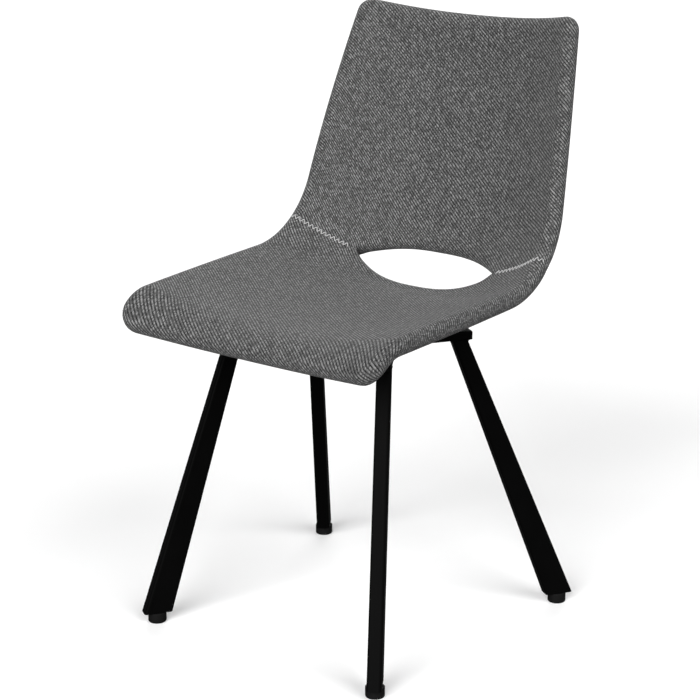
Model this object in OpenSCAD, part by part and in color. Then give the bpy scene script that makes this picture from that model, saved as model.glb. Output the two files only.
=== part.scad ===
// Dining chair: a padded one-piece shell on a welded steel base with four tapered legs.
// +Z is up, the sitter faces -Y, and the origin is on the floor under the middle of the chair's box.

/* [Shell along its middle] */
// Height of the shell's front end, on its mid-surface
shell_front_z = 451; // [430:1:475]
// Distance of the shell's front end ahead of the base's reference line
shell_front_y = 213; // [195:1:230]
// Length of the rounded nose
mid_nose_len = 33.5; // [25:0.5:45]
// Length of the seat
mid_seat_len = 295.5; // [260:0.5:360]
// Length of the bend between seat and back
mid_bend_len = 155; // [125:0.5:190]
// Length of the back
mid_back_len = 318.5; // [260:0.5:390]
// Slope at the tip of the nose
mid_nose_tilt = 47; // [30:1:60]
// Slope of the seat
mid_seat_tilt = -2.2; // [-5:0.1:0]
// Slope at the foot of the back
mid_back_tilt = 68; // [60:1:76]
// Slope at the top of the back
mid_top_tilt = 84.5; // [76:0.5:92]

/* [Shell along its side edges] */
// How far the corners reach ahead of the middle of the front
edge_ahead = 19.5; // [10:0.5:30]
// How far the corners stand above the middle of the front
edge_rise = 11; // [0:0.5:20]
// Length of the rounded nose
edge_nose_len = 59; // [45:0.5:75]
// Length of the seat
edge_seat_len = 251; // [220:0.5:310]
// Length of the bend between seat and back
edge_bend_len = 172; // [140:0.5:210]
// Length of the back
edge_back_len = 268.5; // [220:0.5:330]
// Slope at the tip of the nose
edge_nose_tilt = 61; // [45:1:75]
// Slope of the seat
edge_seat_tilt = 2.2; // [0:0.1:5]
// Slope at the foot of the back
edge_back_tilt = 73.5; // [66:0.5:80]
// Slope at the top of the back
edge_top_tilt = 70; // [64:0.5:80]

/* [Shell across] */
// Half width at the front
half_w_front = 216; // [190:1:235]
// Half width at the widest place, where the bend starts
half_w_widest = 224; // [200:1:245]
// Half width at the top of the back
half_w_top = 181.5; // [160:0.5:205]
// Power of the dish: a higher number keeps the middle flatter
dish_power = 2.3; // [1.8:0.1:3]
// Radius of the front corners, on the core
front_corner_r = 19; // [10:1:40]
// Radius of the top corners, on the core
top_corner_r = 10; // [6:1:40]

/* [Shell layers] */
// Thickness of the plywood core
core_t = 9; // [7:0.5:12]
// Thickness of the foam on each face
foam_t = 7; // [4:0.5:9]
// Thickness of the fabric with its backing
fabric_t = 1.2; // [0.8:0.1:2]
// How far past the edge's side the front fabric turns, in degrees
fabric_wrap = 55; // [30:5:70]

/* [Opening] */
// Distance of the seam from the front, along the shell
seam_run = 409; // [390:1:440]
// Half the length of the cut-out in the core
hole_half_len = 143; // [120:1:170]
// Drop of the cut-out's lower edge below the seam
hole_drop = 52; // [40:1:75]
// Rise of the cut-out's upper edge above the seam
hole_rise = 59; // [35:1:70]
// How blunt its two tips are
hole_power = 2.6; // [2:0.1:3.4]

/* [Legs] */
// Half the distance between the front feet
front_foot_x = 201; // [180:1:220]
// Distance of the front feet ahead of the reference line
front_foot_y = 204; // [185:1:220]
// Half the distance between the rear feet
rear_foot_x = 224; // [200:1:240]
// Distance of the rear feet behind the reference line
rear_foot_y = 218.5; // [200:0.5:235]
// Half the distance between the tops of the front legs
front_top_x = 134; // [120:1:145]
// Distance of the tops of the front legs ahead of the reference line
front_top_y = 97; // [80:1:110]
// Half the distance between the tops of the rear legs
rear_top_x = 132; // [120:1:145]
// Distance of the tops of the rear legs behind the reference line
rear_top_y = 81; // [70:1:100]
// Long side of a leg at its top
leg_top_len = 23; // [18:0.5:28]
// Long side of a leg at its foot
leg_foot_len = 42.5; // [32:0.5:48]
// Short side of a leg
leg_t = 20.5; // [18:0.5:24]
// Radius of a leg's edges
leg_edge_r = 4; // [2:0.5:6]
// Wall of the legs and arms
tube_wall = 1.5; // [1:0.1:2.5]

/* [Seat frame] */
// Width of an arm
arm_w = 20.5; // [16:0.5:24]
// Height of an arm
arm_h = 12.5; // [10:0.5:20]
// Radius of an arm's edges
arm_edge_r = 2; // [1:0.5:3]
// How far an arm runs on past the middle of its leg
arm_overhang = 17.5; // [14:0.5:28]
// Thickness of an arm's end cap
cap_t = 2.5; // [1.5:0.5:4]
// How deep an end cap's spigot goes into its arm
cap_depth = 9; // [6:0.5:9]
// Clearance of a plug in its tube
plug_gap = 0.1; // [0.05:0.05:0.3]
// Length of the seat plate, side to side
plate_len = 190; // [180:1:220]
// Width of the seat plate, front to back
plate_w = 120; // [110:1:140]
// Thickness of the seat plate
plate_t = 2.5; // [2:0.5:3]
// Radius of the seat plate's corners
plate_corner_r = 12; // [4:1:20]
// Half the distance between the bolts, side to side
bolt_x = 50; // [40:1:55]
// Half the distance between the bolts, front to back
bolt_y = 42; // [36:1:46]

/* [Fasteners] */
// Diameter of the seat bolts
bolt_d = 6; // [5:0.5:8]
// Clearance round a bolt in a drilled hole
bolt_gap = 0.3; // [0.1:0.1:0.6]
// Diameter of a bolt's head
bolt_head_d = 12; // [10:0.5:14]
// Height of a bolt's head
bolt_head_h = 3.3; // [2.5:0.1:4]
// Width across the flats of a bolt's key socket
bolt_key = 4; // [3:0.5:5]
// Diameter of a washer
washer_d = 14; // [13:0.5:16]
// Thickness of a washer
washer_t = 1.2; // [0.8:0.1:2]
// Diameter of a nut's barrel
nut_barrel_d = 8.4; // [8:0.1:9]
// Diameter of a nut's flange
nut_flange_d = 19; // [17:0.5:22]
// Thickness of a nut's flange
nut_flange_t = 1.4; // [1:0.1:2]
// Depth of a nut's flange below the core's upper face
nut_sink = 0.8; // [0.6:0.1:1.5]
// Diameter of a spacer between plate and core
spacer_d = 28; // [24:0.5:32]

/* [Levelling glides] */
// Diameter of a glide's pad
pad_d = 27; // [24:0.5:30]
// Height of a glide's pad
pad_h = 15; // [13:0.5:18]
// Radius of the pad's lower edge
pad_edge_r = 2.5; // [1:0.5:3.5]
// Gap between pad and leg when the glide is screwed right in
pad_gap = 0.4; // [0.3:0.1:1]
// How far a glide screws out
glide_travel = 6; // [3:0.5:8]
// Diameter of a glide's stud
stud_d = 8; // [6:0.5:8]
// Length of the stud above the pad
stud_len = 23; // [20:0.5:26]
// Diameter of the stud's head
stud_head_d = 13; // [11:0.5:15]
// Height of the stud's head
stud_head_h = 4.6; // [3:0.1:6]
// Height of the socket's floor in the pad
socket_floor = 4; // [3:0.5:6]
// Radial running clearance of the stud
stud_gap = 0.06; // [0.02:0.01:0.1]
// Depth of the threaded plug in the leg
leg_plug_h = 12; // [10:0.5:14]

/* [Hidden] */
corner_names = ["front_right", "front_left", "rear_right", "rear_left"];
$fn = 48;

// Places of the feet and leg tops, in the order of corner_names, seen from the front.
foot_xy = [
    [front_foot_x, -front_foot_y], [-front_foot_x, -front_foot_y],
    [rear_foot_x, rear_foot_y], [-rear_foot_x, rear_foot_y]
];
top_xy = [
    [front_top_x, -front_top_y], [-front_top_x, -front_top_y],
    [rear_top_x, rear_top_y], [-rear_top_x, rear_top_y]
];

// Shell layers, as distances from the mid-surface.
core_half = core_t / 2;
foam_half = core_half + foam_t;
cover_half = foam_half + fabric_t;

// Side view of the shell: two paths of four arcs each, whose slope turns evenly along each arc.
mid_start = [-shell_front_y, shell_front_z];
mid_lens = [mid_nose_len, mid_seat_len, mid_bend_len, mid_back_len];
mid_tilts = [mid_nose_tilt, mid_seat_tilt, mid_seat_tilt, mid_back_tilt, mid_top_tilt];
edge_start = mid_start + [-edge_ahead, edge_rise];
edge_lens = [edge_nose_len, edge_seat_len, edge_bend_len, edge_back_len];
edge_tilts = [edge_nose_tilt, edge_seat_tilt, edge_seat_tilt, edge_back_tilt, edge_top_tilt];
mean_lens = (mid_lens + edge_lens) / 2;

function total(list, count) = count <= 0 ? 0 * list[0] : list[count - 1] + total(list, count - 1);
function unit(v) = v / norm(v);

// Step made by an arc of the given length between two slopes.
function arc_step(length, from, to) =
    let (half = (to - from) / 2)
    (abs(half) < 0.001 ? length : length * sin(half) / (half * PI / 180))
        * [cos(from + half), sin(from + half)];

function path_knots(start, lens, tilts) =
    let (steps = [for (k = [0:3]) arc_step(lens[k], tilts[k], tilts[k + 1])])
    [for (k = [0:3]) start + total(steps, k)];
mid_knots = path_knots(mid_start, mid_lens, mid_tilts);
edge_knots = path_knots(edge_start, edge_lens, edge_tilts);

// Point of a path at q, which is 0 at the front and counts 1 for each arc.
function path_point(knots, lens, tilts, q) =
    let (k = max(0, min(3, floor(q))), f = q - k)
    knots[k] + arc_step(lens[k] * f, tilts[k], tilts[k] + (tilts[k + 1] - tilts[k]) * f);

// Mean length of the two paths from the front, the other way round, and its value at the knots.
run_knots = [for (k = [0:4]) total(mean_lens, k)];
run_end = run_knots[4];
function q_at(run) =
    let (k = run < run_knots[1] ? 0 : run < run_knots[2] ? 1 : run < run_knots[3] ? 2 : 3)
    k + (run - run_knots[k]) / mean_lens[k];

// Half width with no corner rounding: widest where the bend starts.
function full_half_w(run) =
    run < run_knots[2]
        ? half_w_widest - (half_w_widest - half_w_front) * pow(1 - run / run_knots[2], 2)
        : half_w_widest
            - (half_w_widest - half_w_top) * pow((run - run_knots[2]) / (run_end - run_knots[2]), 1.55);
function corner_loss(d, r) = d >= r ? 0 : r - sqrt(r * r - (r - d) * (r - d));
function rounded_share(run) =
    1 - (corner_loss(run, front_corner_r) + corner_loss(run_end - run, top_corner_r)) / full_half_w(run);

// Mid-surface: a is the place across as a share of the full half width.
function shell_point(a, run) =
    let (
        q = q_at(run),
        mid = path_point(mid_knots, mid_lens, mid_tilts, q),
        edge = path_point(edge_knots, edge_lens, edge_tilts, q),
        yz = mid + (edge - mid) * pow(abs(a), dish_power)
    )
    [a * full_half_w(run), yz[0], yz[1]];

// Normal of the mid-surface on the sitter's side.
function shell_normal(a, run) =
    unit(cross(
        shell_point(a + 0.01, run) - shell_point(a - 0.01, run),
        shell_point(a, run + 0.5) - shell_point(a, run - 0.5)
    ));

// Columns across the shell: evenly spaced over the cut-out and over the stretch beside it.
hole_cols = 8;
side_cols = 2;
cols = hole_cols + 2 * side_cols;
hole_share = hole_half_len / full_half_w(seam_run);
function column_share(i) =
    let (k = abs(i - cols / 2), half = hole_cols / 2)
    sign(i - cols / 2)
        * (k <= half ? hole_share * k / half : hole_share + (1 - hole_share) * (k - half) / side_cols);
// Depth of the cut-out's gap at a column, as a share of its depth in the middle.
function gap_share(i) = max(0, 1 - pow(abs(column_share(i)) / hole_share, hole_power));

// Rows of a panel, from its free end to the seam: the first follow the corner's rounding.
corner_rows = 3;
plain_rows = 10;
rows = corner_rows + plain_rows;
function row_run(j, i, lower) =
    let (
        r = lower ? front_corner_r : top_corner_r,
        last = lower ? seam_run - hole_drop * gap_share(i) : run_end - seam_run - hole_rise * gap_share(i),
        run = j <= corner_rows
            ? r * (1 - cos(90 * j / corner_rows))
            : r + (last - r) * (j - corner_rows) / plain_rows
    )
    lower ? run : run_end - run;
function panel(lower) = [for (j = [0:rows]) [for (i = [0:cols])
    let (run = row_run(j, i, lower), a = column_share(i) * rounded_share(run))
    [shell_point(a, run), shell_normal(a, run)]]];
seat_panel = panel(true);
back_panel = panel(false);

// A panel's free rim, from one end of the seam round to the other.
rim = concat(
    [for (j = [rows:-1:0]) [j, 0]],
    [for (i = [1:cols]) [0, i]],
    [for (j = [1:rows]) [j, cols]]
);
rim_count = len(rim);
seam = [for (i = [cols:-1:0]) [rows, i]];
function cell(p, at) = p[at[0]][at[1]];

// Outward direction at place m of the rim. Where the rim meets the seam it runs on into the other panel.
function rim_out(p, other, m, turn) =
    let (
        next = m < rim_count - 1 ? cell(p, rim[m + 1])[0] : cell(other, [rows - 1, cols])[0],
        last = m > 0 ? cell(p, rim[m - 1])[0] : cell(other, [rows - 1, 0])[0]
    )
    turn * unit(cross(next - last, cell(p, rim[m])[1]));
// Direction into the cut-out at column i of the seam.
function seam_out(p, i) = unit(p[rows][i][0] - p[rows - 1][i][0]);

// Cross-sections of a layer at its edge, as [outwards, along the normal], from outer to inner skin.
// reach and inner_reach are how far the two skins stand out past the core's edge.
function ring(reach, half, angle) = [reach * cos(angle), half * sin(angle)];
function foam_section(reach, angle) =
    [[0, foam_half], ring(reach, foam_half, angle), [reach, 0], [0, 0], [0, core_half]];
function cover_section(reach, inner_reach, angles) = concat(
    [for (angle = angles) ring(reach, cover_half, angle)],
    [for (k = [len(angles) - 1:-1:0]) ring(inner_reach, foam_half, angles[k])]
);
// What is left of a layer's reach at the cut-out's tips, where its two edges meet.
tip_reach = 0.02;
function section(is_foam, side, gap) =
    let (outer = max(2 * tip_reach, min(cover_half, gap)))
    let (inner = max(tip_reach, min(foam_half, gap - fabric_t)))
    is_foam
        ? foam_section(inner, side > 0 ? 45 : fabric_wrap)
        : cover_section(outer, inner, side > 0 ? [90, 45, 0, -fabric_wrap] : [90, fabric_wrap]);
free_gap = 2 * cover_half;
function seam_gap(i) = (hole_drop + hole_rise) * gap_share(i) / 2;
// Places on the seam of the cut-out's two tips.
right_tip = (cols - hole_cols) / 2;
left_tip = right_tip + hole_cols;

// Triangles between two rows of point ids, leaving out those with no area. The pairs listed in others
// are split along their other diagonal, so that faces which lie on each other are split alike.
function real_faces(list) = [for (t = list) if (t[0] != t[1] && t[1] != t[2] && t[2] != t[0]) t];
function strip(a, b, others = []) = real_faces([for (k = [0:len(a) - 2])
    for (t = len(search(k, others)) > 0
        ? [[a[k], a[k + 1], b[k]], [a[k + 1], b[k + 1], b[k]]]
        : [[a[k], a[k + 1], b[k + 1]], [a[k], b[k + 1], b[k]]]) t]);
// A flat end where the rim meets the seam, zigzagging between its two skins.
function end_faces(e) = real_faces([for (k = [0:ceil(len(e) / 2) - 2])
    for (t = [[e[k], e[k + 1], e[len(e) - 1 - k]], [e[k + 1], e[len(e) - 2 - k], e[len(e) - 1 - k]]]) t]);
function flipped(faces, flip) = flip ? [for (f = faces) [f[0], f[2], f[1]]] : faces;
function row_ids(j, first) = [for (i = [0:cols]) first + j * (cols + 1) + i];
function skin_points(p, n) = [for (j = [0:rows]) for (i = [0:cols]) p[j][i][0] + n * p[j][i][1]];
function skin_faces(first) = [for (j = [0:rows - 1]) each strip(row_ids(j + 1, first), row_ids(j, first))];
skin_size = (rows + 1) * (cols + 1);

// One layer of one panel. side is 1 on the sitter's side and -1 behind.
module layer(lower, side, is_foam) {
    p = lower ? seat_panel : back_panel;
    other = lower ? back_panel : seat_panel;
    turn = lower ? 1 : -1;
    rim_sections = [for (at = rim) section(is_foam, side, free_gap)];
    seam_sections = [for (at = seam) section(is_foam, side, seam_gap(at[1]))];
    count = len(rim_sections[0]);
    others = is_foam ? (side > 0 ? [] : [1]) : [for (k = [count / 2:count - 2]) k];
    function put(at, out, s) = cell(p, at)[0] + s[0] * out + side * s[1] * cell(p, at)[1];
    points = concat(
        skin_points(p, side * (is_foam ? foam_half : cover_half)),
        skin_points(p, side * (is_foam ? core_half : foam_half)),
        [for (m = [0:rim_count - 1]) for (s = rim_sections[m]) put(rim[m], rim_out(p, other, m, turn), s)],
        [for (m = [0:cols]) for (s = seam_sections[m]) put(seam[m], seam_out(p, seam[m][1]), s)]
    );
    function skin_id(at) = at[0] * (cols + 1) + at[1];
    function section_ids(at, first, open) = [for (k = [0:count - 1])
        k == 0 ? skin_id(at) : k == count - 1 || !open ? skin_size + skin_id(at) : first + k];
    rim_ids = [for (m = [0:rim_count - 1]) section_ids(rim[m], 2 * skin_size + m * count, true)];
    function seam_ids(m, open) = section_ids(seam[m], 2 * skin_size + (rim_count + m) * count, open);
    faces = concat(
        skin_faces(0),
        flipped(skin_faces(skin_size), true),
        [for (m = [0:rim_count - 2]) each strip(rim_ids[m + 1], rim_ids[m], others)],
        [for (m = [0:cols - 1]) let (open = m >= right_tip && m < left_tip)
            each strip(seam_ids(m + 1, open), seam_ids(m, open), others)],
        flipped(end_faces(rim_ids[rim_count - 1]), true),
        end_faces(rim_ids[0]),
        flipped(end_faces(seam_ids(left_tip, true)), true),
        end_faces(seam_ids(right_tip, true))
    );
    polyhedron(points, flipped(faces, side * turn < 0));
}

// The core: both panels joined along the seam, with straight walls round the rim and the cut-out.
module core_body() {
    levels = [core_half, 0, -core_half];
    points = [for (p = [seat_panel, back_panel]) for (n = levels) each skin_points(p, n)];
    // Beside the cut-out the back panel's first row is the seat panel's last row.
    function core_id(lower, level, at) =
        let (own = !lower && !(at[0] == rows && seam_gap(at[1]) <= 0))
        ((own ? len(levels) : 0) + level) * skin_size + at[0] * (cols + 1) + at[1];
    function core_row(lower, level, j) = [for (i = [0:cols]) core_id(lower, level, [j, i])];
    function core_skin(lower, level) = [for (j = [0:rows - 1])
        each strip(core_row(lower, level, j + 1), core_row(lower, level, j))];
    function edge(lower, at) = [for (level = [0:2]) core_id(lower, level, at)];
    function wall(lower, a, b) = strip(edge(lower, b), edge(lower, a), [0]);
    function half(lower) = concat(
        core_skin(lower, 0),
        flipped(core_skin(lower, 2), true),
        [for (m = [0:rim_count - 2]) each wall(lower, rim[m], rim[m + 1])],
        [for (m = [0:cols - 1]) if (seam_gap(seam[m][1]) > 0 || seam_gap(seam[m + 1][1]) > 0)
            each wall(lower, seam[m], seam[m + 1])]
    );
    polyhedron(points, concat(half(true), flipped(half(false), true)));
}

// The chair is centred front to back on its own box.
skin_y = [for (p = [seat_panel, back_panel]) for (n = [-cover_half, cover_half])
    for (q = skin_points(p, n)) q[1]];
rim_y = [for (r = [[seat_panel, back_panel, 1], [back_panel, seat_panel, -1]]) for (m = [0:rim_count - 1])
    for (s = cover_section(cover_half, foam_half, [90, 45, 0, -fabric_wrap]))
        (cell(r[0], rim[m])[0] + s[0] * rim_out(r[0], r[1], m, r[2]) + s[1] * cell(r[0], rim[m])[1])[1]];
centre_y = (min(concat(skin_y, rim_y)) + max(concat(skin_y, rim_y))) / 2;
module centred() {
    translate([0, -centre_y, 0]) children();
}

// The seat plate lies just under the shell's lowest place above it.
base_mid_y = (rear_top_y - front_top_y) / 2;
plate_gap = 0.4;
function middle_underside(y) =
    mid_knots[1][1] + (y - mid_knots[1][0]) * tan(mid_seat_tilt) - cover_half / cos(mid_seat_tilt);
plate_top_z = min([for (y = [-plate_w / 2, plate_w / 2]) middle_underside(base_mid_y + y)]) - plate_gap;
plate_z = plate_top_z - plate_t;
arm_z = plate_z - arm_h;

// Bolts, with the shell's place and slope above each of them.
function run_above(x, y, run, tries) = tries == 0
    ? run
    : run_above(x, y, run + y - shell_point(x / full_half_w(run), run)[1], tries - 1);
bolts_at = [for (y = [-1, 1]) for (x = [-1, 1])
    let (
        at = [x * bolt_x, base_mid_y + y * bolt_y],
        run = run_above(at[0], at[1], run_end / 3, 8),
        a = at[0] / full_half_w(run),
        n = shell_normal(a, run)
    )
    [at, shell_point(a, run)[2], n]];
function core_under_z(b) = b[1] - core_half / b[2][2];
function core_over_z(b) = b[1] + core_half / b[2][2];
function nut_top_z(b) = core_over_z(b) - nut_sink;
function nut_seat_z(b) = nut_top_z(b) - nut_flange_t;
module at_bolts() {
    for ($bolt = bolts_at) translate([$bolt[0][0], $bolt[0][1], 0]) children();
}

// A cylinder between two heights.
module post(d, from, to) {
    translate([0, 0, from]) cylinder(d = d, h = to - from);
}
cut = 1;

module shell_core() {
    nut_fit = 0.1;
    color("burlywood") centred() difference() {
        core_body();
        at_bolts() {
            post(nut_barrel_d + nut_fit, core_under_z($bolt) - core_t, core_over_z($bolt) + core_t);
            post(nut_flange_d + 2 * nut_fit, nut_seat_z($bolt), core_over_z($bolt) + core_t);
        }
    }
}
module seat_foam() {
    color("khaki") centred() layer(true, 1, true);
}
module back_foam() {
    color("khaki") centred() layer(false, 1, true);
}
module under_foam() {
    color("khaki") centred() spacer_holes() layer(true, -1, true);
}
module rear_foam() {
    color("khaki") centred() layer(false, -1, true);
}
module seat_cover() {
    color("gray") centred() layer(true, 1, false);
}
module back_cover() {
    color("gray") centred() layer(false, 1, false);
}
module under_cover() {
    color("gray") centred() spacer_holes() layer(true, -1, false);
}
module rear_cover() {
    color("gray") centred() layer(false, -1, false);
}
module spacer_holes() {
    spacer_fit = 0.2;
    difference() {
        children();
        at_bolts() post(spacer_d + spacer_fit, plate_z, core_under_z($bolt) + core_half);
    }
}

// A rectangle with round corners, centred.
module rounded_rect(size, r) {
    square([size[0] - 2 * r, size[1]], center = true);
    square([size[0], size[1] - 2 * r], center = true);
    for (x = [-1, 1]) for (y = [-1, 1])
        translate([x * (size[0] / 2 - r), y * (size[1] / 2 - r)]) circle(r = r);
}
arm_size = [arm_w, arm_h];
wall_2 = 2 * tube_wall;

// Something drawn across the arms' section, standing on their underside and running along +X.
module along_x(length) {
    translate([0, 0, arm_h / 2]) rotate([90, 0, 90]) linear_extrude(length) children();
}
module arm_outline() {
    rounded_rect(arm_size, arm_edge_r);
}
module arm_bore() {
    square([arm_w - wall_2, arm_h - wall_2], center = true);
}
function heading(c) = let (d = foot_xy[c] - top_xy[c]) atan2(d[1], d[0]);
function arm_reach(c) = abs((top_xy[c][1] - base_mid_y) / sin(heading(c)));
module on_arm(c) {
    translate([top_xy[c][0], top_xy[c][1], arm_z]) rotate(heading(c)) children();
}
// An arm's full section from past the base's middle line to its cap, cut square on that line.
module arm_length(c) {
    back_off = arm_reach(c) + arm_w;
    far = plate_len;
    difference() {
        on_arm(c) translate([-back_off, 0, 0]) along_x(back_off + arm_overhang - cap_t) children();
        translate([-far, base_mid_y + (top_xy[c][1] < base_mid_y ? 0 : -far), arm_z - cut])
            cube([2 * far, far, arm_h + 2 * cut]);
    }
}
module arm(c) {
    color("#1c1c1e") centred() arm_length(c) difference() {
        arm_outline();
        arm_bore();
    }
}
module arm_cap(c) {
    color("#161616") centred() on_arm(c) {
        translate([arm_overhang - cap_t, 0, 0]) along_x(cap_t) arm_outline();
        translate([arm_overhang - cap_t - cap_depth, 0, 0]) along_x(cap_depth)
            square([arm_w - wall_2 - 2 * plug_gap, arm_h - wall_2 - 2 * plug_gap], center = true);
    }
}
module cross_tube() {
    reach = min([for (c = [0:3]) abs(top_xy[c][0]) - arm_reach(c) * abs(cos(heading(c)))]);
    color("#1c1c1e") centred() difference() {
        translate([-reach, base_mid_y, arm_z]) along_x(2 * reach) difference() {
            arm_outline();
            arm_bore();
        }
        for (c = [0:3]) arm_length(c) arm_outline();
    }
}
module seat_plate() {
    color("#1c1c1e") centred() difference() {
        translate([0, base_mid_y, plate_z]) linear_extrude(plate_t)
            rounded_rect([plate_len, plate_w], plate_corner_r);
        at_bolts() post(bolt_d + 2 * bolt_gap, plate_z - cut, plate_top_z + cut);
    }
}
// Spacers stand on the plate and meet the core's underside, which slopes.
module spacers() {
    color("#202022") centred() at_bolts() {
        n = $bolt[2];
        difference() {
            post(spacer_d, plate_top_z, core_under_z($bolt) + core_t);
            post(bolt_d + 2 * bolt_gap, plate_top_z - cut, core_under_z($bolt) + core_t + cut);
            translate([0, 0, core_under_z($bolt)]) rotate([0, acos(n[2]), atan2(n[1], n[0])])
                translate([-spacer_d, -spacer_d, 0]) cube(2 * spacer_d);
        }
    }
}
module tee_nuts() {
    thread_fit = 0.06;
    lift = 0.5;
    color("silver") centred() at_bolts() difference() {
        union() {
            post(nut_barrel_d, core_under_z($bolt) + lift, nut_top_z($bolt));
            post(nut_flange_d, nut_seat_z($bolt), nut_top_z($bolt));
        }
        post(bolt_d + 2 * thread_fit, core_under_z($bolt) - cut, nut_top_z($bolt) + cut);
    }
}
module washers() {
    color("silver") centred() at_bolts() difference() {
        post(washer_d, plate_z - washer_t, plate_z);
        post(bolt_d + 2 * bolt_gap, plate_z - washer_t - cut, plate_z + cut);
    }
}
module bolts() {
    head_z = plate_z - washer_t - bolt_head_h;
    key_depth = 0.6 * bolt_head_h;
    color("#2a2a2c") centred() at_bolts() difference() {
        union() {
            post(bolt_head_d, head_z, head_z + bolt_head_h);
            post(bolt_d, head_z, nut_top_z($bolt));
        }
        translate([0, 0, head_z - cut])
            cylinder(d = bolt_key / cos(30), h = key_depth + cut, $fn = 6);
    }
}

// Legs lean in the plane of their arm and grow longer in section towards the floor.
leg_bottom_z = pad_h + pad_gap;
function leg_share(z) = (z - leg_bottom_z) / (arm_z - leg_bottom_z);
function leg_xy(c, z) = foot_xy[c] + (top_xy[c] - foot_xy[c]) * leg_share(z);
function leg_len(z) = leg_foot_len + (leg_top_len - leg_foot_len) * leg_share(z);
// A leg's outline at a height, as points round a rectangle with round corners.
corner_steps = 6;
function leg_ring(c, z, inset) =
    let (
        r = max(leg_edge_r - inset, 0.5),
        half = [leg_len(z) / 2 - inset - r, leg_t / 2 - inset - r],
        turn = heading(c),
        along = [cos(turn), sin(turn)],
        across = [-sin(turn), cos(turn)]
    )
    [for (corner = [[1, 1], [-1, 1], [-1, -1], [1, -1]]) for (k = [0:corner_steps])
        let (
            start = atan2(corner[1], corner[0]) - 45,
            bend = start + 90 * k / corner_steps,
            at = leg_xy(c, z) + along * (corner[0] * half[0] + r * cos(bend))
                + across * (corner[1] * half[1] + r * sin(bend))
        )
        [at[0], at[1], z]];
ring_size = 4 * (corner_steps + 1);
function ring_band(a, b) = [for (k = [0:ring_size - 1])
    let (n = (k + 1) % ring_size)
    for (t = [[a * ring_size + k, b * ring_size + k, b * ring_size + n],
            [a * ring_size + k, b * ring_size + n, a * ring_size + n]]) t];
module leg(c) {
    rings = [[leg_bottom_z, 0], [arm_z, 0], [arm_z, tube_wall], [leg_bottom_z, tube_wall]];
    color("#1c1c1e") centred() polyhedron(
        [for (ring = rings) each leg_ring(c, ring[0], ring[1])],
        [for (k = [0:3]) each ring_band(k, (k + 1) % 4)]
    );
}
module leg_plug(c) {
    top_z = leg_bottom_z + leg_plug_h;
    color("#161616") centred() difference() {
        polyhedron(
            [for (z = [leg_bottom_z, top_z]) each leg_ring(c, z, tube_wall + plug_gap)],
            concat(
                ring_band(0, 1),
                [[for (k = [0:ring_size - 1]) k], [for (k = [ring_size - 1:-1:0]) ring_size + k]]
            )
        );
        translate(foot_xy[c]) post(stud_d + 2 * stud_gap, leg_bottom_z - cut, top_z + cut);
    }
}
socket_h = stud_head_h + 0.3;
module glide_pad(c) {
    top_edge = 0.8;
    color("#141414") centred() translate(foot_xy[c]) difference() {
        rotate_extrude() polygon(concat(
            [[0, 0]],
            [for (t = [0:15:90]) [pad_d / 2 - pad_edge_r + pad_edge_r * sin(t), pad_edge_r * (1 - cos(t))]],
            [[pad_d / 2, pad_h - top_edge], [pad_d / 2 - top_edge, pad_h], [0, pad_h]]
        ));
        post(stud_head_d + 2 * stud_gap, socket_floor, socket_floor + socket_h);
        post(stud_d + 2 * stud_gap, socket_floor, pad_h + cut);
    }
}
module glide_stud(c) {
    head_z = socket_floor + (socket_h - stud_head_h) / 2;
    color("silver") centred() translate(foot_xy[c]) {
        post(stud_head_d, head_z, head_z + stud_head_h);
        post(stud_d, head_z, pad_h + stud_len);
    }
}

shell_core();
seat_foam();
back_foam();
under_foam();
rear_foam();
seat_cover();
back_cover();
under_cover();
rear_cover();
seat_plate();
cross_tube();
spacers();
tee_nuts();
washers();
bolts();
for (c = [0:3]) {
    arm(c);
    arm_cap(c);
    leg(c);
    leg_plug(c);
    glide_pad(c);
    glide_stud(c);
}
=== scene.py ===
import math

import bpy
import numpy as np
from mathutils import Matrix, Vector


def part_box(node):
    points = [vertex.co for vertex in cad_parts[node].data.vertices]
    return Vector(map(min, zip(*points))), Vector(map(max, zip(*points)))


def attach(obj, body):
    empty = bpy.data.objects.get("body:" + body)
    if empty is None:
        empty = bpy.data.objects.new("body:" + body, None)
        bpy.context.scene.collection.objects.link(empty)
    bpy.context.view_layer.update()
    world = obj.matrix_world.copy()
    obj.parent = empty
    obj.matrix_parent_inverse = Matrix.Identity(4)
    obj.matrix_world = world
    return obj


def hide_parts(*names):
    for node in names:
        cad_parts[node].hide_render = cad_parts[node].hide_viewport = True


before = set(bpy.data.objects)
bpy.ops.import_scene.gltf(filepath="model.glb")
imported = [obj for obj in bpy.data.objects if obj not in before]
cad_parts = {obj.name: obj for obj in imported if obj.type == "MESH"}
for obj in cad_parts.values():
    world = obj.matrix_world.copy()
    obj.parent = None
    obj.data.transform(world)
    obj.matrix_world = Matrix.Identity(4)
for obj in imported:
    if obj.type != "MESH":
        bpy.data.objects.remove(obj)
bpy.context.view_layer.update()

scene = bpy.context.scene
scene.view_settings.view_transform = "Standard"
cornerNames = ("front_right", "front_left", "rear_right", "rear_left")
print("frame loaded:", len(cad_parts), "nodes")


# Small helpers for arrays and meshes

def unit(v):
    return v / np.linalg.norm(v, axis=-1, keepdims=True)


def smoothStep(low, high, x):
    t = np.clip((x - low) / (high - low), 0, 1)
    return t * t * (3 - 2 * t)


def bandQuads(rows, around=False):
    # Quads between neighbouring rows of a table of point numbers, all round if the rows are closed loops.
    this = rows if around else rows[:, :-1]
    following = np.roll(rows, -1, axis=1) if around else rows[:, 1:]
    return np.stack([this[:-1], following[:-1], following[1:], this[1:]], -1).reshape(-1, 4)


def asTriangles(quads):
    # Both triangles of each quad, without those that two equal corners leave flat.
    both = np.concatenate([quads[:, [0, 1, 2]], quads[:, [0, 2, 3]]])
    a, b, c = both.T
    return both[(a != b) & (b != c) & (c != a)]


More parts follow.
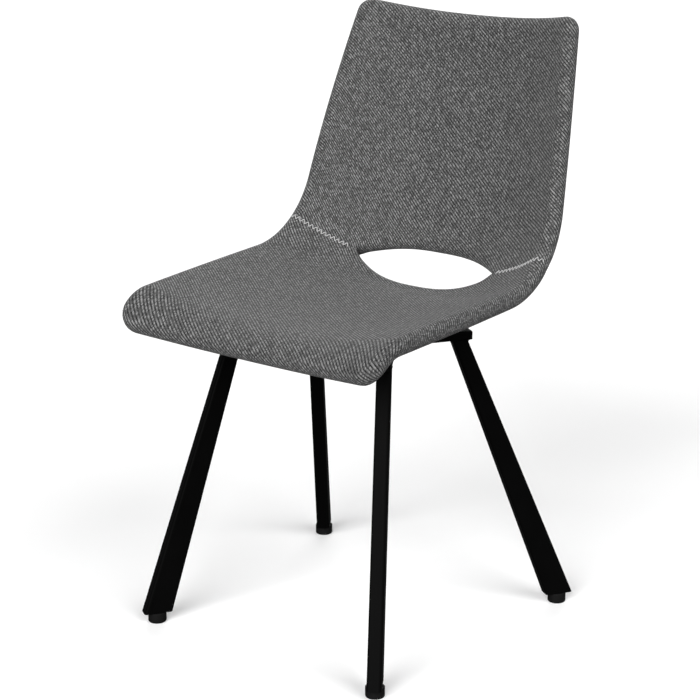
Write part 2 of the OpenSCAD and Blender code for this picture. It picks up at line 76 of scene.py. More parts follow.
def newPiece(name, points, quads, triangles, body, material, clothPlace=None):
    # A closed mesh whose faces are turned outwards: they are turned over if its signed volume is negative.
    # clothPlace is each point's place on the flat cloth, in metres, and becomes the UV map "cloth".
    corners = np.concatenate([triangles, quads[:, [0, 1, 2]], quads[:, [0, 2, 3]]])
    a, b, c = points[corners[:, 0]], points[corners[:, 1]], points[corners[:, 2]]
    if np.einsum("ij,ij->i", a, np.cross(b, c)).sum() < 0:
        quads, triangles = quads[:, ::-1], triangles[:, ::-1]
    mesh = bpy.data.meshes.new(name)
    mesh.from_pydata(points.tolist(), [], quads.tolist() + triangles.tolist())
    mesh.update()
    mesh.polygons.foreach_set("use_smooth", np.ones(len(mesh.polygons), bool))
    if clothPlace is not None:
        corner = np.zeros(len(mesh.loops), np.int32)
        mesh.loops.foreach_get("vertex_index", corner)
        places = clothPlace[corner].astype(np.float32)
        mesh.uv_layers.new(name="cloth").data.foreach_set("uv", places.ravel())
    piece = bpy.data.objects.new(name, mesh)
    scene.collection.objects.link(piece)
    mesh.materials.append(material)
    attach(piece, body)
    return piece


# Small helpers for shader nodes

def plug(tree, node, values):
    # Links each socket given to the input of that name or number, and sets any other value there.
    for key, value in values.items():
        if isinstance(value, bpy.types.NodeSocket):
            tree.links.new(value, node.inputs[key])
        else:
            node.inputs[key].default_value = value
    return node


def addNode(tree, kind, values, **settings):
    node = tree.nodes.new(kind)
    for key, value in settings.items():
        setattr(node, key, value)
    return plug(tree, node, values)


def calc(tree, operation, *values):
    return addNode(tree, "ShaderNodeMath", dict(enumerate(values)), operation=operation).outputs[0]


def grey(value):
    return (value, value, value, 1)


def mixColours(tree, factor, low, high, blend="MIX"):
    values = {0: factor, 6: low, 7: high}   # the numbers of the mix node's factor and colour inputs
    return addNode(tree, "ShaderNodeMix", values, data_type="RGBA", blend_type=blend).outputs[2]


def objectPlace(tree):
    return addNode(tree, "ShaderNodeTexCoord", {}).outputs["Object"]


def clothMap(tree):
    return addNode(tree, "ShaderNodeUVMap", {}, uv_map="cloth").outputs[0]


def newGroup(name, inputs, outputs):
    # A shader group. Inputs gives each input's name and value, with None for a vector. Outputs are numbers.
    group = bpy.data.node_groups.new(name, "ShaderNodeTree")
    for key, value in inputs.items():
        kind = "NodeSocketVector" if value is None else "NodeSocketFloat"
        socket = group.interface.new_socket(key, in_out="INPUT", socket_type=kind)
        if value is not None:
            socket.default_value = value
    for key in outputs:
        group.interface.new_socket(key, in_out="OUTPUT", socket_type="NodeSocketFloat")
    given = group.nodes.new("NodeGroupInput").outputs
    group.nodes.new("NodeGroupOutput")
    return group, given


def makeTwillGroup():
    # A 2/2 twill: warp yarn i lies on top where (i + v) mod 4 is below 2, and the weft where it isn't.
    # Each yarn is round across and arched along its float. Height is the upper yarn's, Warp is 1 where
    # the warp is on top, and Float is a number at random for each float.
    inputs = {"Place": None, "Pitch": 0.0013, "Pick": 0.0013}
    group, given = newGroup("twillWeave", inputs, ("Height", "Warp", "Float"))
    place = addNode(group, "ShaderNodeSeparateXYZ", {0: given["Place"]}).outputs
    u = calc(group, "DIVIDE", place[0], given["Pitch"])
    v = calc(group, "DIVIDE", place[1], given["Pick"])
    i, j = calc(group, "FLOOR", u), calc(group, "FLOOR", v)

    def yarn(count, along, across, lift):
        phase = calc(group, "MULTIPLY", calc(group, "ADD", count, along), math.pi / 2)
        arch = calc(group, "MULTIPLY_ADD", calc(group, "SINE", phase), 0.5 * lift, 0.5)
        side = calc(group, "MULTIPLY_ADD", calc(group, "FRACT", across), 2.0, -1.0)
        square = calc(group, "MULTIPLY", side, side)
        roundness = calc(group, "SQRT", calc(group, "SUBTRACT", 1.0, square))
        return calc(group, "MULTIPLY", arch, roundness)

    warp, weft = yarn(i, v, u, 1), yarn(j, u, v, -1)
    onTop = calc(group, "GREATER_THAN", warp, weft)
    below = calc(group, "SUBTRACT", 1.0, onTop)
    warpFloat = calc(group, "FLOOR", calc(group, "DIVIDE", calc(group, "ADD", i, v), 4.0))
    weftStart = calc(group, "ADD", calc(group, "ADD", j, u), 2.0)
    weftFloat = calc(group, "FLOOR", calc(group, "DIVIDE", weftStart, 4.0))
    first = calc(group, "MULTIPLY_ADD", onTop, i, calc(group, "MULTIPLY", below, weftFloat))
    second = calc(group, "MULTIPLY_ADD", onTop, warpFloat, calc(group, "MULTIPLY", below, j))
    layer = calc(group, "MULTIPLY", onTop, 9.0)
    cell = addNode(group, "ShaderNodeCombineXYZ", {0: first, 1: second, 2: layer})
    chance = addNode(group, "ShaderNodeTexWhiteNoise", {0: cell.outputs[0]}, noise_dimensions="3D")
    plug(group, group.nodes["Group Output"], {
        "Height": calc(group, "MAXIMUM", warp, weft), "Warp": onTop, "Float": chance.outputs[0]})
    return group


def makeGrainGroup():
    # Fine grain and broad cloudiness from noise at two scales, each as a number round 0.5.
    inputs = {"Place": None, "FineScale": 900.0, "BroadScale": 12.0}
    group, given = newGroup("grain", inputs, ("Fine", "Broad"))
    for key, scale, detail in (("Fine", "FineScale", 3.0), ("Broad", "BroadScale", 2.0)):
        values = {"Vector": given["Place"], "Scale": given[scale], "Detail": detail}
        noise = addNode(group, "ShaderNodeTexNoise", values).outputs[0]
        plug(group, group.nodes["Group Output"], {key: noise})
    return group


twillGroup = makeTwillGroup()
grainGroup = makeGrainGroup()


def grainSpots(tree, place, look):
    values = {"Place": place, "FineScale": look["fineScale"], "BroadScale": look["broadScale"]}
    return addNode(tree, "ShaderNodeGroup", values, node_tree=grainGroup).outputs


def newMaterial(name, **values):
    material = bpy.data.materials.new(name)
    material.use_nodes = True
    tree = material.node_tree
    named = {key.replace("_", " "): value for key, value in values.items()}
    return material, tree, plug(tree, tree.nodes["Principled BSDF"], named)


def useBump(tree, shader, height, distance, strength=1.0):
    values = {"Height": height, "Distance": distance, "Strength": strength}
    plug(tree, shader, {"Normal": addNode(tree, "ShaderNodeBump", values).outputs[0]})


# The upholstery fabric: a grey mottled twill, with painted shade between its yarns

fabricLook = {
    "pitch": 0.00165, "pick": 0.00125,   # from one warp yarn, or one weft yarn, to the next
    "warpTones": (0.072, 0.26),    # darkest and palest float of the light warp
    "weftTones": (0.008, 0.060),   # and of the dark weft
    "chancePower": 1.5,
    "paintedCreviceShare": 0.2,                # painted shade: share of the tone left between the yarns
    "crown": 0.6, "crownSoftness": 0.2,   # height of a yarn above which the painted shade stops and the tone stays even
    "mottle": 0.6, "fineScale": 380.0,
    "cloudiness": 0.06, "broadScale": 14.0,
    "bumpDepth": 0.0006, "bumpStrength": 0.7,
    "roughness": 0.92, "specular": 0.2, "sheen": 0.11, "sheenRoughness": 0.5,
}


def makeFabric():
    look = fabricLook
    material, tree, shader = newMaterial(
        "greyTwill", Roughness=look["roughness"], Specular_IOR_Level=look["specular"],
        Sheen_Weight=look["sheen"], Sheen_Roughness=look["sheenRoughness"])
    cloth = clothMap(tree)
    values = {"Place": cloth, "Pitch": look["pitch"], "Pick": look["pick"]}
    weave = addNode(tree, "ShaderNodeGroup", values, node_tree=twillGroup).outputs
    spots = grainSpots(tree, cloth, look)
    chance = calc(tree, "POWER", weave["Float"], look["chancePower"])
    warp = mixColours(tree, chance, *[grey(tone) for tone in look["warpTones"]])
    weft = mixColours(tree, chance, *[grey(tone) for tone in look["weftTones"]])
    yarns = mixColours(tree, weave["Warp"], weft, warp)
    # Painted shade: the tone darkens where a yarn's height is low, in the gaps between the yarns. Mottle
    # and clouds are the cloth's own random tone.
    crown = calc(tree, "SMOOTH_MIN", weave["Height"], look["crown"], look["crownSoftness"])
    paintedCreviceShade = calc(tree, "MULTIPLY_ADD", crown, (1 - look["paintedCreviceShare"]) / look["crown"], look["paintedCreviceShare"])
    mottle = calc(tree, "MULTIPLY_ADD", spots["Fine"], 2 * look["mottle"], 1 - look["mottle"])
    clouds = calc(tree, "MULTIPLY_ADD", spots["Broad"], 2 * look["cloudiness"], 1 - look["cloudiness"])
    creviceShadeAndMottle = calc(tree, "MULTIPLY", calc(tree, "MULTIPLY", paintedCreviceShade, mottle), clouds)
    shadeAndMottleColour = addNode(tree, "ShaderNodeCombineColor", {0: creviceShadeAndMottle, 1: creviceShadeAndMottle, 2: creviceShadeAndMottle}).outputs[0]
    plug(tree, shader, {"Base Color": mixColours(tree, 1.0, yarns, shadeAndMottleColour, "MULTIPLY")})
    useBump(tree, shader, weave["Height"], look["bumpDepth"], look["bumpStrength"])
    return material


# Sewing thread, of plies wound together

threadLook = {
    # tones: painted shade, from the grooves between the plies to their crowns
    "tones": (0.34, 0.62), "winding": 5200.0,   # radians of winding per metre
    "bumpDepth": 0.0001, "roughness": 0.6, "specular": 0.3, "sheen": 0.2,
}


def makeThread():
    # The thread's map "cloth" holds the length along it and the turn round it. Its plies wind along both.
    # Their tone is painted shade: darkest in the grooves between the plies, palest on their crowns.
    look = threadLook
    material, tree, shader = newMaterial(
        "paleThread", Roughness=look["roughness"], Specular_IOR_Level=look["specular"],
        Sheen_Weight=look["sheen"])
    place = addNode(tree, "ShaderNodeSeparateXYZ", {0: clothMap(tree)}).outputs
    wind = calc(tree, "SINE", calc(tree, "MULTIPLY_ADD", place[0], look["winding"], place[1]))
    ply = calc(tree, "MULTIPLY_ADD", wind, 0.5, 0.5)
    # Painted shade: the tone follows the plies' height, as the bump does.
    plug(tree, shader, {"Base Color": mixColours(tree, ply, *[grey(tone) for tone in look["tones"]])})
    useBump(tree, shader, ply, look["bumpDepth"])
    return material


# Paint, moulded plastic and blackened screws

coatedLooks = {
    "blackPowderCoat": {
        "tone": 0.0016, "roughness": 0.5, "specular": 0.025, "grainDepth": 0.00004, "fineScale": 1500.0},
    "blackPlastic": {
        "tone": 0.0025, "roughness": 0.55, "specular": 0.05, "grainDepth": 0.00005, "fineScale": 2400.0},
    "glidePlastic": {
        "tone": 0.005, "roughness": 0.6, "specular": 0.1, "grainDepth": 0.00006, "fineScale": 1800.0},
    "blackScrew": {
        "tone": 0.006, "roughness": 0.4, "specular": 0.3, "grainDepth": 0.00002, "fineScale": 1500.0},
}
scuffing = {"top": 0.12, "threshold": 0.62, "strength": 0.25, "paler": 4}   # fine scuffs near the floor
clouding = {"broadScale": 20.0, "toneSpread": 0.3, "roughnessSpread": 0.08}


def makeCoated(name):
    # An even dark tone with slight clouds, and a fine orange peel in the surface.
    look = {**coatedLooks[name], **clouding}
    material, tree, shader = newMaterial(name, Specular_IOR_Level=look["specular"])
    place = objectPlace(tree)
    spots = grainSpots(tree, place, look)
    height = addNode(tree, "ShaderNodeSeparateXYZ", {0: place}).outputs[2]
    fromFloor = {0: height, 1: 0.0, 2: scuffing["top"], 3: 1.0, 4: 0.0}
    scuff = addNode(tree, "ShaderNodeMapRange", fromFloor).outputs[0]
    worn = calc(tree, "MULTIPLY", scuff, calc(tree, "GREATER_THAN", spots["Fine"], scuffing["threshold"]))
    tone, spread = look["tone"], look["toneSpread"]
    toned = mixColours(tree, spots["Broad"], grey(tone * (1 - spread)), grey(tone * (1 + spread)))
    scuffed = calc(tree, "MULTIPLY", worn, scuffing["strength"])
    spread = look["roughnessSpread"]
    plug(tree, shader, {
        "Base Color": mixColours(tree, scuffed, toned, grey(tone * scuffing["paler"])),
        "Roughness": calc(tree, "MULTIPLY_ADD", spots["Broad"], 2 * spread, look["roughness"] - spread)})
    useBump(tree, shader, spots["Fine"], look["grainDepth"])
    return material


# Bright zinc plating with a fine crystalline mottle

zincLook = {
    "tones": ((0.48, 0.49, 0.5, 1), (0.66, 0.67, 0.68, 1)), "fineScale": 1200.0, "broadScale": 90.0,
    "roughness": 0.18, "roughnessSpread": 0.3, "bumpDepth": 0.00003,
}


def makeZinc():
    look = zincLook
    material, tree, shader = newMaterial("zincPlate", Metallic=1.0)
    spots = grainSpots(tree, objectPlace(tree), look)
    rough = calc(tree, "MULTIPLY_ADD", spots["Fine"], look["roughnessSpread"], look["roughness"])
    plug(tree, shader, {
        "Base Color": mixColours(tree, spots["Broad"], *look["tones"]),
        "Roughness": rough})
    useBump(tree, shader, spots["Fine"], look["bumpDepth"])
    return material


# Veneer plies stacked in Z with a grain drawn out along Y

plywoodLook = {
    "tones": ((0.36, 0.22, 0.11, 1), (0.62, 0.44, 0.26, 1)), "grainScale": (220.0, 14.0, 900.0),
    "detail": 4.0, "roughness": 0.6, "bumpDepth": 0.0001,
}


def makePlywood():
    look = plywoodLook
    material, tree, shader = newMaterial("plywood", Roughness=look["roughness"])
    placing = {"Vector": objectPlace(tree), "Scale": look["grainScale"]}
    drawn = addNode(tree, "ShaderNodeMapping", placing).outputs[0]
    noise = {"Vector": drawn, "Scale": 1.0, "Detail": look["detail"]}
    grain = addNode(tree, "ShaderNodeTexNoise", noise).outputs[0]
    plug(tree, shader, {"Base Color": mixColours(tree, grain, *look["tones"])})
    useBump(tree, shader, grain, look["bumpDepth"])
    return material


fabric = makeFabric()
thread = makeThread()
powderCoat = makeCoated("blackPowderCoat")
blackPlastic = makeCoated("blackPlastic")
glidePlastic = makeCoated("glidePlastic")
blackScrew = makeCoated("blackScrew")
zinc = makeZinc()
plywood = makePlywood()
finishes = {
    "shell_core": plywood, "seat_plate": powderCoat, "cross_tube": powderCoat, "spacers": blackPlastic,
    "tee_nuts": zinc, "washers": zinc, "bolts": blackScrew,
}
cornerFinishes = {
    "arm_": powderCoat, "leg_": powderCoat, "arm_cap_": blackPlastic, "leg_plug_": blackPlastic,
    "glide_pad_": glidePlastic, "glide_stud_": zinc,
}
for prefix, finish in cornerFinishes.items():
    finishes.update({prefix + corner: finish for corner in cornerNames})
for nodeName, finish in finishes.items():
    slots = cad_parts[nodeName].data.materials
    slots.clear()
    slots.append(finish)
print("materials made and given to", len(finishes), "CAD nodes")


# The seat shell: its mid-surface, as the CAD has it, in metres and degrees

shell = {
    "start": (-0.213, 0.451),                        # front edge's middle: y before centring, and z
    "midLengths": (0.0335, 0.2955, 0.155, 0.3185),   # nose, seat, bend and back along the middle
    "midTilts": (47, -2.2, -2.2, 68, 84.5),
    "edgeShift": (-0.0195, 0.011),                   # front corner against the front edge's middle
    "edgeLengths": (0.059, 0.251, 0.172, 0.2685),
    "edgeTilts": (61, 2.2, 2.2, 73.5, 70),
    "halfWidths": (0.216, 0.224, 0.1815),            # front, widest, top
    "taperPower": 1.55,
    "dishPower": 2.3,
    "cornerRadii": (0.019, 0.010),                   # front, top
    "coreHalf": 0.0045,
    "coverHalf": 0.0127,
    "seamRun": 0.409,                                # length from the front edge to the side seams
    "holeHalf": 0.143,
    "holeDrop": 0.052,
    "holeRise": 0.059,
    "holePower": 2.6,
    "frontFootY": -0.204,
    "normalSteps": (0.01, 0.0005),
}
footLow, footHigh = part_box("glide_pad_front_right")
shiftY = (footLow.y + footHigh.y) / 2 - shell["frontFootY"]
meanLengths = (np.array(shell["midLengths"]) + np.array(shell["edgeLengths"])) / 2
runKnots = np.concatenate([[0], np.cumsum(meanLengths)])
runEnd = runKnots[-1]


def arcStep(length, start, end):
    # The step made by an arc of that length whose slope turns evenly from start to end.
    half = np.radians(end - start) / 2
    chord = length * np.sinc(half / math.pi)
    middle = np.radians(start) + half
    return chord[..., None] * np.stack([np.cos(middle), np.sin(middle)], -1)


def pathPoint(start, lengths, tilts, q):
    # A point of a path of four arcs at q, which counts 1 for each arc.
    lengths, tilts = np.array(lengths), np.array(tilts, float)
    knots = np.array(start) + np.vstack([[0, 0], np.cumsum(arcStep(lengths, tilts[:-1], tilts[1:]), 0)])
    k = np.clip(np.floor(q).astype(int), 0, 3)
    share = q - k
    return knots[k] + arcStep(lengths[k] * share, tilts[k], tilts[k] + (tilts[k + 1] - tilts[k]) * share)


def fullHalfWidth(run):
    front, widest, top = shell["halfWidths"]
    seat = widest - (widest - front) * np.abs(1 - run / runKnots[2]) ** 2
    rise = np.clip((run - runKnots[2]) / (runEnd - runKnots[2]), 0, None)
    return np.where(run < runKnots[2], seat, widest - (widest - top) * rise ** shell["taperPower"])


def surfacePoint(a, run):
    # a is the place across as a share of the half width. The place in yz goes from the middle's path to the
    # edge's path as |a| to the dish's power.
    a, run = np.broadcast_arrays(np.asarray(a, float), np.asarray(run, float))
    k = np.clip(np.searchsorted(runKnots, run, side="right") - 1, 0, 3)
    q = k + (run - runKnots[k]) / meanLengths[k]
    start = np.array(shell["start"])
    mid = pathPoint(start, shell["midLengths"], shell["midTilts"], q)
    edge = pathPoint(start + shell["edgeShift"], shell["edgeLengths"], shell["edgeTilts"], q)
    yz = mid + (edge - mid) * (np.abs(a) ** shell["dishPower"])[..., None]
    return np.concatenate([(a * fullHalfWidth(run))[..., None], yz + [shiftY, 0]], -1)


def surfaceNormal(a, run):
    # The cross product of the differences over a small step either way.
    aStep, runStep = shell["normalSteps"]
    across = surfacePoint(a + aStep, run) - surfacePoint(a - aStep, run)
    along = surfacePoint(a, run + runStep) - surfacePoint(a, run - runStep)
    return unit(np.cross(across, along))


def roundedShare(run):
    # How much of the half width the rounded corners leave.
    loss = 0
    for distance, radius in zip((run, runEnd - run), shell["cornerRadii"]):
        short = np.clip(radius - distance, 0, radius)
        loss = loss + radius - np.sqrt(radius ** 2 - short ** 2)
    return 1 - loss / fullHalfWidth(run)


# Upholstery: four padded panels over the shell, each a closed skin wrapped round its rim

padding = {
    "holeColumns": 100, "sideColumns": 28, "cornerRows": 8, "plainRows": 110,
    "seamRows": (
        0.011, 0.0085, 0.0063, 0.0046, 0.0033, 0.0023, 0.0016, 0.0011, 0.0007, 0.0004, 0.0002, 0.0),
    "swell": 0.0022,                   # the most that a front pad swells
    "pressure": 4.0, "frames": 20, "smoothings": 24, "seamFade": 0.03,
    "plainCrown": 0.8, "plainFade": 0.05,   # share and fade of a plain crown
    "pull": 0.0011, "pullWidth": 0.009,   # the padding drawn in along the side seams
    "grooveDepth": 0.0015, "grooveWidth": 0.0016,
    "pucker": 0.00022, "puckerFade": 0.010, "stitchPitch": 0.0080,
    "besideTip": 0.012,                # length beyond the cut-out's tip over which these three grow
    "rimSeam": 57,                     # angle below the rim where front and rear covers meet
    "rimSteps": 17, "shortRimSteps": 5, "seamTurn": 3,
    "seamAngles": (1.2, 0.3, 0.05), "seamShares": (0.985, 0.93, 0.80),   # the rim's roll into that seam
    "seamInset": 0.02, "beyondSeam": 0.002,
    "tipRound": 0.0024, "tipEase": 0.0015, "tipFade": 0.008,   # rounding and opening of the cut-out's tips
    "lipOpening": 0.003, "lipSquareness": 0.3, "lipFade": 0.012,
    "rearShift": (0.31, 0.17),         # place of the rear covers on the cloth against the front ones
    "fill": 0.85,
}
holeShare = shell["holeHalf"] / float(fullHalfWidth(np.array(shell["seamRun"])))
seamRows = np.array(padding["seamRows"])


def gapShare(a):
    return np.clip(1 - (np.abs(a) / holeShare) ** shell["holePower"], 0, None)


def openHalf(halfGap):
    # Half the height of the opening left between the lips. It starts as a product's root, which makes the
    # tip round.
    left = halfGap - shell["coverHalf"]
    nearTip = np.exp(-np.clip(left, 0, None) / padding["tipFade"])
    eased = np.clip(left + padding["tipEase"] * nearTip - padding["tipRound"], 0, None)
    return np.sqrt(eased * (eased + 2 * padding["tipRound"] * nearTip))


def coverThickness(a, run, toSeam):
    # Distance of the skin from the mid-surface. Beside the cut-out the padding is drawn in towards the
    # seam, rolls over into its groove, and puckers at each stitch.
    beyondTip = (np.abs(a) - holeShare) * fullHalfWidth(run)
    beside = smoothStep(0.0, padding["besideTip"], beyondTip)
    pull = padding["pull"] * np.exp(-(toSeam / padding["pullWidth"]) ** 2)
    over = np.clip(1 - toSeam / padding["grooveWidth"], 0, 1)
    groove = padding["grooveDepth"] * (1 - np.sqrt(1 - over ** 2))
    wave = np.cos(2 * np.pi * np.abs(a) * fullHalfWidth(run) / padding["stitchPitch"])
    pucker = padding["pucker"] * wave * np.exp(-toSeam / padding["puckerFade"])
    return shell["coverHalf"] - beside * (pull + groove + pucker)


def spreadMatrix(size, picked):
    # The matrix that spreads values at the picked numbers over all numbers up to size, in straight lines.
    return np.stack([np.interp(np.arange(size), picked, row) for row in np.eye(len(picked))], 1)


def blownHeight(name, skin, normal, toSeam):
    # How far each point of a padded skin swells. Every second row and column of it makes a cloth, held
    # round its edge and blown up for some frames. The rise along the normal is capped, drawn out over the
    # whole grid between the cloth's points, smoothed, and faded at the seam.
    rows, cols = skin.shape[:2]
    fade = smoothStep(0, padding["seamFade"], toSeam)
    everySecond = np.arange(padding["cornerRows"], rows - len(seamRows), 2)
    rowPick = np.unique(np.append(everySecond, [0, rows - 1]))
    colPick = np.arange(0, cols, 2)
    coarse = skin[np.ix_(rowPick, colPick)]
    ids = np.arange(len(rowPick) * len(colPick)).reshape(len(rowPick), len(colPick))
    mesh = bpy.data.meshes.new(name)
    mesh.from_pydata(coarse.reshape(-1, 3).tolist(), [], bandQuads(ids).tolist())
    sheet = bpy.data.objects.new(name, mesh)
    scene.collection.objects.link(sheet)
    held = np.concatenate([ids[0], ids[-1], ids[:, 0], ids[:, -1]])
    sheet.vertex_groups.new(name="held").add(np.unique(held).tolist(), 1.0, "REPLACE")
    cloth = sheet.modifiers.new("blow", "CLOTH")
    cloth.settings.vertex_group_mass = "held"
    cloth.settings.use_pressure = True
    cloth.settings.uniform_pressure_force = padding["pressure"]
    cloth.settings.effector_weights.gravity = 0
    cloth.point_cache.frame_start, cloth.point_cache.frame_end = 1, padding["frames"]
    for frameNumber in range(1, padding["frames"] + 1):
        scene.frame_set(frameNumber)
    blown = sheet.evaluated_get(bpy.context.evaluated_depsgraph_get()).data
    moved = np.zeros(coarse.size, np.float32)
    blown.vertices.foreach_get("co", moved)
    bpy.data.objects.remove(sheet)
    scene.frame_set(1)
    rise = ((moved.reshape(coarse.shape) - coarse) * normal[np.ix_(rowPick, colPick)]).sum(-1)
    rise *= np.sign(rise[len(rowPick) // 2, len(colPick) // 4])
    print(name, "rose by up to", round(1000 * float(rise.max()), 1), "mm before the cap")
    rise = padding["swell"] * np.tanh(rise / padding["swell"])
    rise = spreadMatrix(rows, rowPick) @ rise @ spreadMatrix(cols, colPick).T
    for _ in range(padding["smoothings"]):
        rise[1:-1] = (rise[:-2] + 2 * rise[1:-1] + rise[2:]) / 4
        rise[:, 1:-1] = (rise[:, :-2] + 2 * rise[:, 1:-1] + rise[:, 2:]) / 4
    return rise * fade


def flat(grid):
    return grid.reshape(-1, grid.shape[-1])


def panelGrid(lower):
    # Rows run from the free edge to the seam and crowd at both. Columns are even, and two meet the tips.
    hole = np.linspace(-holeShare, holeShare, padding["holeColumns"] + 1)
    side = np.linspace(holeShare, 1, padding["sideColumns"] + 1)[1:]
    a = np.concatenate([-side[::-1], hole, side])
    radius = shell["cornerRadii"][0 if lower else 1]
    reach = shell["seamRun"] - shell["holeDrop"] * gapShare(a)
    if not lower:
        reach = runEnd - shell["seamRun"] - shell["holeRise"] * gapShare(a)
    corner = radius * (1 - np.cos(np.linspace(0, np.pi / 2, padding["cornerRows"] + 1)))
    plain = np.linspace(0, 1, padding["plainRows"] + 1)[1:-1, None]
    fromFree = np.concatenate([
        np.repeat(corner[:, None], len(a), 1),
        radius + plain * (reach - seamRows[0] - radius),
        reach - seamRows[:, None]])
    run = fromFree if lower else runEnd - fromFree
    return a * roundedShare(run), run, reach - fromFree, a


def makePanel(name, lower, front, nodes):
    # The outer skin is a grid. Round its border goes a profile: over the rim or the cut-out's lip as part
    # of a circle, then into the seam with the other side's cover and back to the core. Beside the cut-out
    # the profile is a straight wall against the panel it is sewn to. The inner skin is the grid again, on
    # the core.
    a, run, toSeam, column = panelGrid(lower)
    side, turn = (1 if front else -1), (1 if lower else -1)
    middle, normal = surfacePoint(a, run), side * surfaceNormal(a, run)
    thick = coverThickness(column, run, toSeam)
    if front:
        skin = middle + thick[..., None] * normal
        thick = thick + blownHeight(name + "Blown", skin, normal, toSeam)
    rows, cols = run.shape
    ids = np.arange(rows * cols).reshape(rows, cols)
    border = np.concatenate([ids[::-1, 0], ids[0, 1:], ids[1:, -1], ids[-1, ::-1]])
    rimCount = 2 * rows + cols - 2
    onRim = np.arange(len(border)) < rimCount
    centre, up, thin = flat(middle)[border], flat(normal)[border], thick.ravel()[border]

    # Outwards: square to the rim, and along the panel at the seam.
    loop = centre[:rimCount]
    tangent = np.gradient(loop, axis=0)
    tangent[0] = tangent[-1] = 0
    beyond = surfacePoint(np.array([-1.0, 1.0]), shell["seamRun"] + turn * padding["beyondSeam"])
    tangent[0], tangent[-1] = loop[1] - beyond[0], beyond[1] - loop[-2]
    outward = np.zeros_like(centre)
    outward[:rimCount] = turn * side * unit(np.cross(tangent, up[:rimCount]))
    outward[rimCount:] = unit(middle[-1] - middle[-3])[::-1]
    halfGap = (shell["holeDrop"] + shell["holeRise"]) * gapShare(column[::-1]) / 2
    reach = np.concatenate([np.full(rimCount, shell["coverHalf"]), halfGap - openHalf(halfGap)])
    opened = np.concatenate([np.ones(rimCount), smoothStep(0, padding["lipOpening"], halfGap)])
    least = padding["lipSquareness"]
    lips = least + (1 - least) * smoothStep(0, padding["lipFade"], openHalf(halfGap))
    squareness = np.concatenate([np.ones(rimCount), lips])[:, None]

    # Profile: angle, share of the radius, then the mid-plane and the core.
    last, count = padding["rimSeam"], padding["shortRimSteps"]
    if front:
        last, count = -last, padding["rimSteps"]
    rolling = np.linspace(90, last + padding["seamTurn"], count)[1:]
    angles = np.append(rolling, last + np.array(padding["seamAngles"]))
    shares = np.ones(len(angles))
    shares[-3:] = padding["seamShares"]
    cosines = np.concatenate([shares * np.cos(np.radians(angles)), [padding["seamInset"]]])
    sines = np.concatenate([shares * np.sin(np.radians(angles)), [0.0]])
    steps = len(cosines)
    toCore = shell["coreHalf"] - thin[:, None]
    wall = thin[:, None] + toCore * np.arange(1, steps + 1) / (steps + 1)
    size = np.where(sines > 0, thin[:, None], shell["coverHalf"])
    rolled = size * np.sign(sines) * np.abs(sines) ** squareness
    heights = opened[:, None] * rolled + (1 - opened[:, None]) * wall
    reaches = reach[:, None] * np.abs(cosines) ** squareness
    ringPoints = centre[:, None] + reaches[..., None] * outward[:, None]
    ringPoints = ringPoints + heights[..., None] * up[:, None]

    # Cloth places: lengths across and along the panel, running on over the rim.
    lengths = np.linalg.norm(np.diff(middle, axis=1), axis=-1)
    across = np.concatenate([np.zeros((rows, 1)), np.cumsum(lengths, 1)], 1)
    across -= across[:, cols // 2, None]
    place = np.stack([across, run], -1)
    if not front:
        place = place * [-1, 1] + padding["rearShift"]
    placeLoop = flat(place)[border]
    placeTangent = np.gradient(placeLoop[:rimCount], axis=0)
    placeOut = np.zeros_like(placeLoop)
    placeOut[:rimCount] = turn * side * unit(placeTangent)[:, ::-1] * [1, -1]
    placeOut[rimCount:] = [0, turn]
    outwards = np.diff(reaches, axis=1, prepend=0)
    walked = np.hypot(outwards, np.diff(heights, axis=1, prepend=thin[:, None]))
    ringPlaces = placeLoop[:, None] + np.cumsum(walked, 1)[..., None] * placeOut[:, None]

    outer = flat(middle + thick[..., None] * normal)
    inner = flat(middle + shell["coreHalf"] * normal)
    points = np.concatenate([outer, inner, flat(ringPoints)])
    places = np.concatenate([flat(place), flat(place), flat(ringPlaces)])
    ringIds = 2 * rows * cols + np.arange(len(border) * steps).reshape(len(border), steps)
    chain = np.concatenate([border[:, None], ringIds, border[:, None] + rows * cols], 1)
    chain = np.concatenate([chain, chain[:1]])
    quads = np.concatenate([bandQuads(ids), bandQuads(ids + rows * cols)[:, ::-1], bandQuads(chain)])
    folded = (quads == np.roll(quads, 1, axis=1)).any(1)
    piece = newPiece(name, points, quads[~folded], asTriangles(quads[folded]), "chair", fabric,
                     places)
    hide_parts(*nodes)
    return piece


def tubeStrokes(name, paths, radii, body, material, turns=8):
    # Closed tubes, each along a row of points: rings square to the path, and a point to close either end.
    # Lengths along and turns round go into the map "cloth". The vector leans so that no path runs along it.
    strokes, count = paths.shape[:2]
    leaning = np.array([0.31, 0.17, 0.93])
    along = unit(np.gradient(paths, axis=1))
    across = unit(np.cross(along, leaning))
    other = np.cross(along, across)
    turn = 2 * np.pi * np.arange(turns) / turns
    ring = np.cos(turn)[:, None] * across[:, :, None] + np.sin(turn)[:, None] * other[:, :, None]
    rings = paths[:, :, None] + radii[:, :, None, None] * ring
    points = np.concatenate([rings.reshape(-1, 3), paths[:, 0], paths[:, -1]])
    ids = np.arange(strokes * count * turns).reshape(strokes, count, turns)
    nextIds = np.roll(ids, -1, axis=2)
    quads = np.stack([ids[:, :-1], nextIds[:, :-1], nextIds[:, 1:], ids[:, 1:]], -1).reshape(-1, 4)
    first = np.broadcast_to(ids.size + np.arange(strokes)[:, None], (strokes, turns))
    last = first + strokes
    caps = [np.stack([first, nextIds[:, 0], ids[:, 0]], -1),
            np.stack([last, ids[:, -1], nextIds[:, -1]], -1)]
    pieces = np.linalg.norm(np.diff(paths, axis=1), axis=-1)
    lengths = np.concatenate([np.zeros((strokes, 1)), np.cumsum(pieces, 1)], 1)
    places = np.stack(np.broadcast_arrays(lengths[:, :, None], turn), -1).reshape(-1, 2)
    ends = np.stack([np.concatenate([lengths[:, 0], lengths[:, -1]]), np.zeros(2 * strokes)], -1)
    return newPiece(name, points, quads, np.concatenate(caps).reshape(-1, 3), body, material,
                    np.concatenate([places, ends]))


